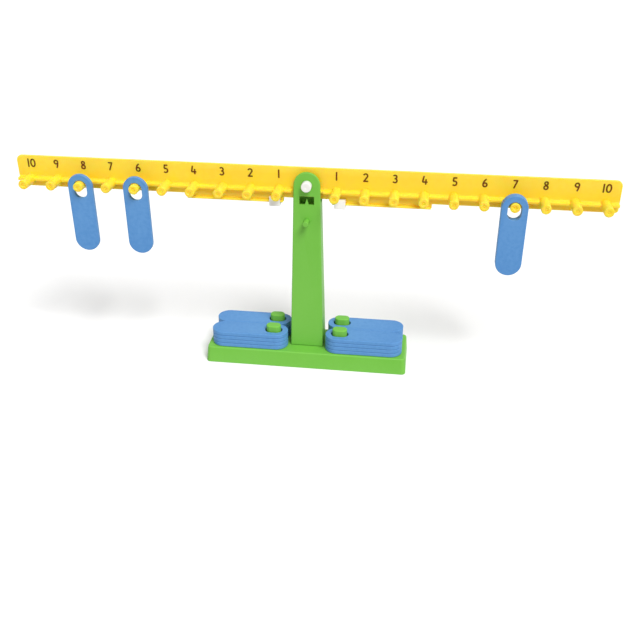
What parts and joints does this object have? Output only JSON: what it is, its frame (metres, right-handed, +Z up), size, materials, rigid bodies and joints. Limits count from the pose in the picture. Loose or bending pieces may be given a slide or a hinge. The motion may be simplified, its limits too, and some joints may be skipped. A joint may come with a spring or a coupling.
{
  "type": "math balance",
  "caption": "Number balance: a pegged, numbered beam that tilts on a slotted post and base, with flat slotted weights on its pegs and stacked on storage pegs.",
  "frame": {"origin": "middle of the base's underside, on the table", "axes": "+Z up; +X along the beam to the right as seen from the numbered side; -Y is the front, where the pegs and numbers are"},
  "size_m": [0.648, 0.0654, 0.23],
  "materials": {
    "green_plastic": "moulded, soft gloss",
    "yellow_plastic": "moulded, soft gloss",
    "blue_plastic": "moulded, soft gloss",
    "white_plastic": "moulded, soft gloss"
  },
  "bodies": {
    "stand": {"base": "green_plastic", "storage_peg_front_left": "green_plastic", "storage_peg_front_right": "green_plastic", "storage_peg_back_left": "green_plastic", "storage_peg_back_right": "green_plastic", "post_front": "green_plastic", "post_back": "green_plastic", "pivot_pin": "white_plastic"},
    "beam": {"beam": "yellow_plastic"},
    "zero_slider_left": {"zero_slider_left": "white_plastic"},
    "zero_slider_right": {"zero_slider_right": "white_plastic"},
    "weight_left_8": {"weight_left_8": "blue_plastic"},
    "weight_left_6": {"weight_left_6": "blue_plastic"},
    "weight_right_7_rear": {"weight_right_7_rear": "blue_plastic"},
    "weight_right_7_front": {"weight_right_7_front": "blue_plastic"},
    "stored_front_left_1": {"stored_front_left_1": "blue_plastic"},
    "stored_front_left_2": {"stored_front_left_2": "blue_plastic"},
    "stored_front_left_3": {"stored_front_left_3": "blue_plastic"},
    "stored_front_left_4": {"stored_front_left_4": "blue_plastic"},
    "stored_front_right_1": {"stored_front_right_1": "blue_plastic"},
    "stored_front_right_2": {"stored_front_right_2": "blue_plastic"},
    "stored_front_right_3": {"stored_front_right_3": "blue_plastic"},
    "stored_front_right_4": {"stored_front_right_4": "blue_plastic"},
    "stored_back_left_1": {"stored_back_left_1": "blue_plastic"},
    "stored_back_left_2": {"stored_back_left_2": "blue_plastic"},
    "stored_back_left_3": {"stored_back_left_3": "blue_plastic"},
    "stored_back_left_4": {"stored_back_left_4": "blue_plastic"},
    "stored_back_right_1": {"stored_back_right_1": "blue_plastic"},
    "stored_back_right_2": {"stored_back_right_2": "blue_plastic"},
    "stored_back_right_3": {"stored_back_right_3": "blue_plastic"},
    "stored_back_right_4": {"stored_back_right_4": "blue_plastic"}
  },
  "joints": [
    {"name": "beam_tilt", "type": "hinge", "parent": "stand", "child": "beam", "pos_m": [0, 0, 0.212], "axis": [0, 1, 0], "range_deg": [-10, 10]},
    {"name": "slide_zero_left", "type": "slide", "parent": "beam", "child": "zero_slider_left", "axis": [-1, 0, 0], "range_m": [-0.0034, 0.0915]},
    {"name": "slide_zero_right", "type": "slide", "parent": "beam", "child": "zero_slider_right", "axis": [1, 0, 0], "range_m": [-0.0034, 0.0915]},
    {"name": "swing_left_8", "type": "hinge", "parent": "beam", "child": "weight_left_8", "pos_m": [-0.248, -0.01585, 0.204], "axis": [0, 1, 0], "range_deg": [-15, 50]},
    {"name": "swing_left_6", "type": "hinge", "parent": "beam", "child": "weight_left_6", "pos_m": [-0.186, -0.01585, 0.204], "axis": [0, 1, 0], "range_deg": [-50, 15]},
    {"name": "swing_right_7_rear", "type": "hinge", "parent": "beam", "child": "weight_right_7_rear", "pos_m": [0.217, -0.01585, 0.204], "axis": [0, 1, 0], "range_deg": [-50, 50]},
    {"name": "swing_right_7_front", "type": "hinge", "parent": "beam", "child": "weight_right_7_front", "pos_m": [0.217, -0.02065, 0.204], "axis": [0, 1, 0], "range_deg": [-50, 50]},
    {"name": "lift_front_left_1", "type": "slide", "parent": "stand", "child": "stored_front_left_1", "axis": [0, 0, 1], "range_m": [0, 0.0264]},
    {"name": "lift_front_left_2", "type": "slide", "parent": "stored_front_left_1", "child": "stored_front_left_2", "axis": [0, 0, 1], "range_m": [0, 0.0216]},
    {"name": "lift_front_left_3", "type": "slide", "parent": "stored_front_left_2", "child": "stored_front_left_3", "axis": [0, 0, 1], "range_m": [0, 0.0168]},
    {"name": "lift_front_left_4", "type": "slide", "parent": "stored_front_left_3", "child": "stored_front_left_4", "axis": [0, 0, 1], "range_m": [0, 0.012]},
    {"name": "lift_front_right_1", "type": "slide", "parent": "stand", "child": "stored_front_right_1", "axis": [0, 0, 1], "range_m": [0, 0.0264]},
    {"name": "lift_front_right_2", "type": "slide", "parent": "stored_front_right_1", "child": "stored_front_right_2", "axis": [0, 0, 1], "range_m": [0, 0.0216]},
    {"name": "lift_front_right_3", "type": "slide", "parent": "stored_front_right_2", "child": "stored_front_right_3", "axis": [0, 0, 1], "range_m": [0, 0.0168]},
    {"name": "lift_front_right_4", "type": "slide", "parent": "stored_front_right_3", "child": "stored_front_right_4", "axis": [0, 0, 1], "range_m": [0, 0.012]},
    {"name": "lift_back_left_1", "type": "slide", "parent": "stand", "child": "stored_back_left_1", "axis": [0, 0, 1], "range_m": [0, 0.0264]},
    {"name": "lift_back_left_2", "type": "slide", "parent": "stored_back_left_1", "child": "stored_back_left_2", "axis": [0, 0, 1], "range_m": [0, 0.0216]},
    {"name": "lift_back_left_3", "type": "slide", "parent": "stored_back_left_2", "child": "stored_back_left_3", "axis": [0, 0, 1], "range_m": [0, 0.0168]},
    {"name": "lift_back_left_4", "type": "slide", "parent": "stored_back_left_3", "child": "stored_back_left_4", "axis": [0, 0, 1], "range_m": [0, 0.012]},
    {"name": "lift_back_right_1", "type": "slide", "parent": "stand", "child": "stored_back_right_1", "axis": [0, 0, 1], "range_m": [0, 0.0264]},
    {"name": "lift_back_right_2", "type": "slide", "parent": "stored_back_right_1", "child": "stored_back_right_2", "axis": [0, 0, 1], "range_m": [0, 0.0216]},
    {"name": "lift_back_right_3", "type": "slide", "parent": "stored_back_right_2", "child": "stored_back_right_3", "axis": [0, 0, 1], "range_m": [0, 0.0168]},
    {"name": "lift_back_right_4", "type": "slide", "parent": "stored_back_right_3", "child": "stored_back_right_4", "axis": [0, 0, 1], "range_m": [0, 0.012]}
  ]
}
